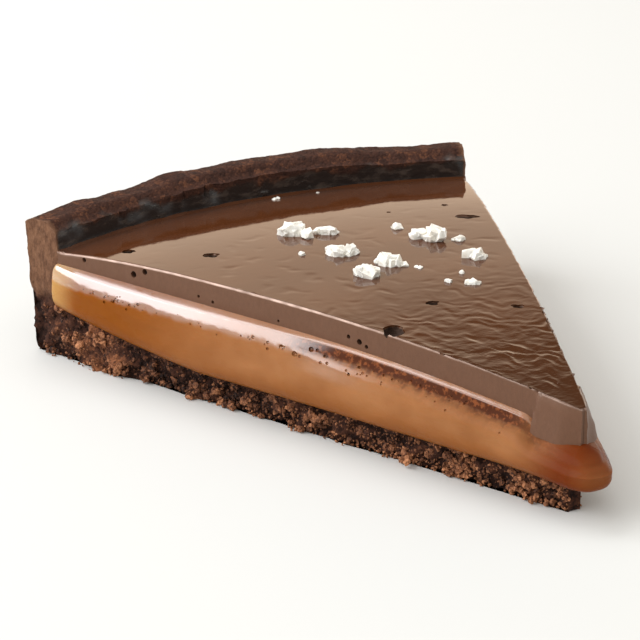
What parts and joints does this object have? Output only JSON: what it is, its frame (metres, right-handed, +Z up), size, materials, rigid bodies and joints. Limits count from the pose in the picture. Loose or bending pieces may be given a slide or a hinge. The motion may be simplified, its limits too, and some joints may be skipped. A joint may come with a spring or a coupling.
{
  "type": "slice of chocolate tart",
  "caption": "Wedge of chocolate tart: dark crumb crust with a raised curved rim, a bulging caramel layer and a ganache top with salt flakes.",
  "frame": {"origin": "middle of the slice's footprint, on the surface that it stands on", "axes": "+Y from the cut tip to the middle of the rim, +Z up, +X to the right seen from the tip"},
  "size_m": [0.089, 0.1204, 0.0257],
  "materials": {
    "crust": "dry dark cocoa crumb crust, rough and crumbly on the cuts, smeared smooth up the wall",
    "caramel": "soft set caramel, satin with a wet shoulder",
    "ganache": "dark chocolate ganache, mirror glossy on top and satin on the cuts",
    "salt": "white sea salt flakes, matt with bright facets"
  },
  "bodies": {
    "root": {"crust": "crust", "caramel": "caramel", "ganache": "ganache"}
  },
  "joints": []
}
